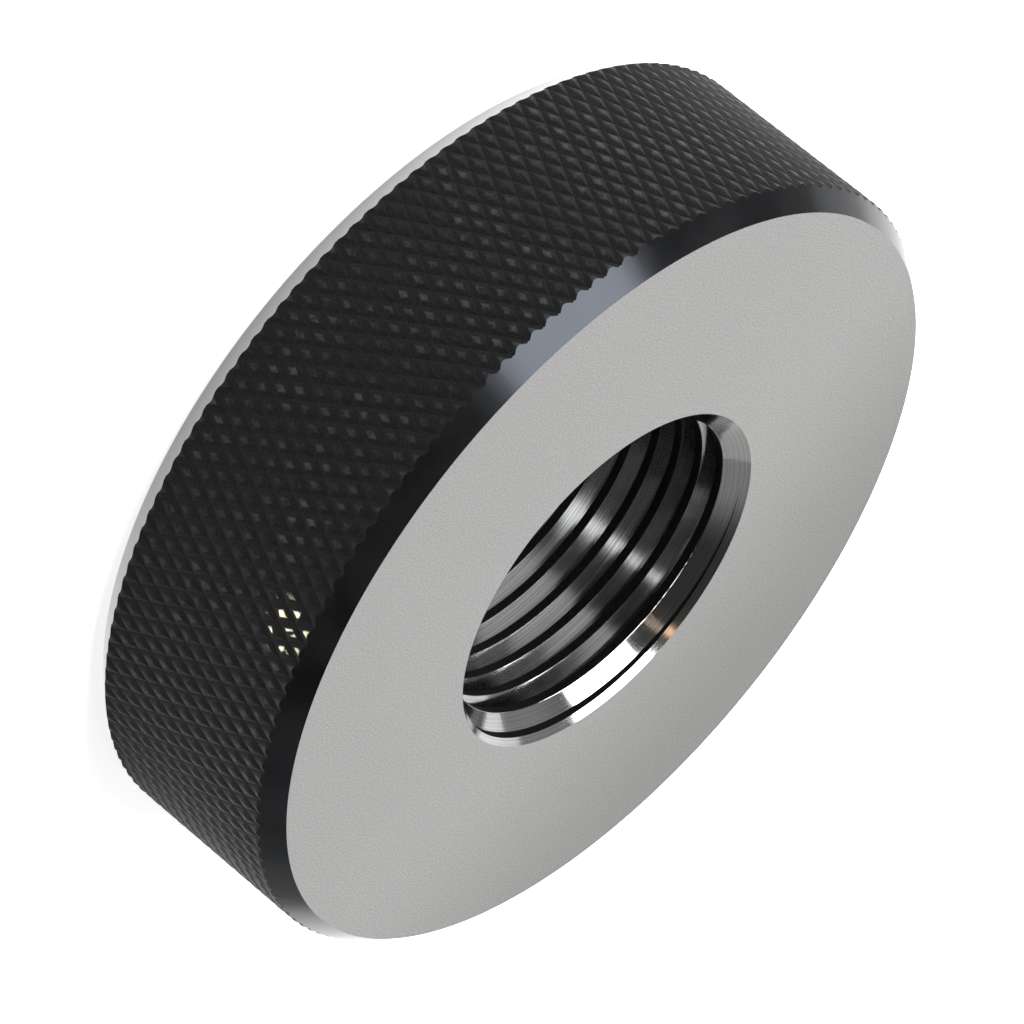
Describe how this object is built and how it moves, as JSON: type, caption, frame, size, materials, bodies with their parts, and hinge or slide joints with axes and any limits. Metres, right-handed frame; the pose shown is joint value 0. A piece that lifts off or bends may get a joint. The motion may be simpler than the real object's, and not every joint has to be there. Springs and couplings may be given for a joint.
{
  "type": "thread ring gauge",
  "caption": "Solid thread ring gauge: a thick steel ring with a threaded bore, ground faces and a black diamond-knurled rim.",
  "frame": {"origin": "centre of the back face, where the ring lies on its flat face", "axes": "+Z along the ring's axis, out of the front face; X and Y across the ring"},
  "size_m": [0.063, 0.063, 0.018],
  "materials": {
    "gauge_steel": "hardened tool steel: fine-ground satin faces, bright threaded bore, black-oxide rim"
  },
  "bodies": {
    "root": {"gauge_ring": "gauge_steel"}
  },
  "joints": []
}
